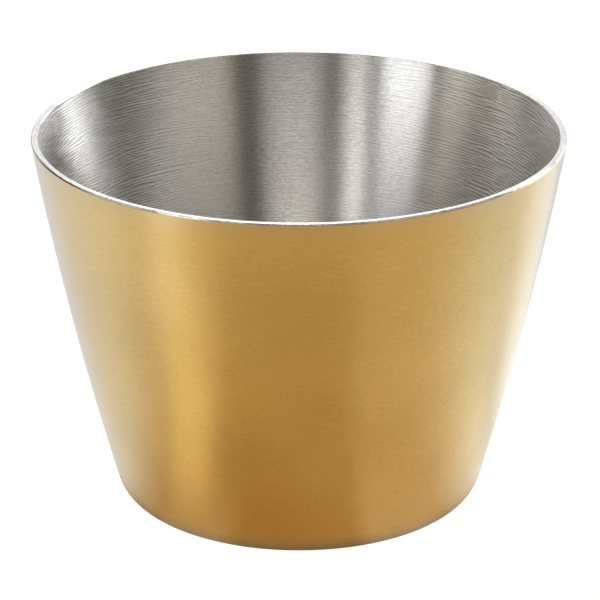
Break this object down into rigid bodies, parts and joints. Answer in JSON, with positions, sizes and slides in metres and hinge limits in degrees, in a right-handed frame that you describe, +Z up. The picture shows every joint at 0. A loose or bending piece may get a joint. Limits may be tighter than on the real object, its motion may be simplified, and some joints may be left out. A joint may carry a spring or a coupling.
{
  "type": "tapered metal cup",
  "caption": "Small round open cup with a tapered wall, a flat rim and a flat foot, brushed steel inside and brass-coloured outside, for holding small bench or table contents.",
  "frame": {"origin": "centre of the underside of the foot", "axes": "+Z up along the cup's axis, out of its mouth; X and Y are level, and the cup is the same all round"},
  "size_m": [0.06, 0.06, 0.043],
  "materials": {
    "brushed_steel": "brushed round the axis, rim flat and bright",
    "satin_brass": "satin, very fine brushing round the axis"
  },
  "bodies": {
    "root": {"steel_cup": "brushed_steel", "brass_layer": "satin_brass"}
  },
  "joints": []
}
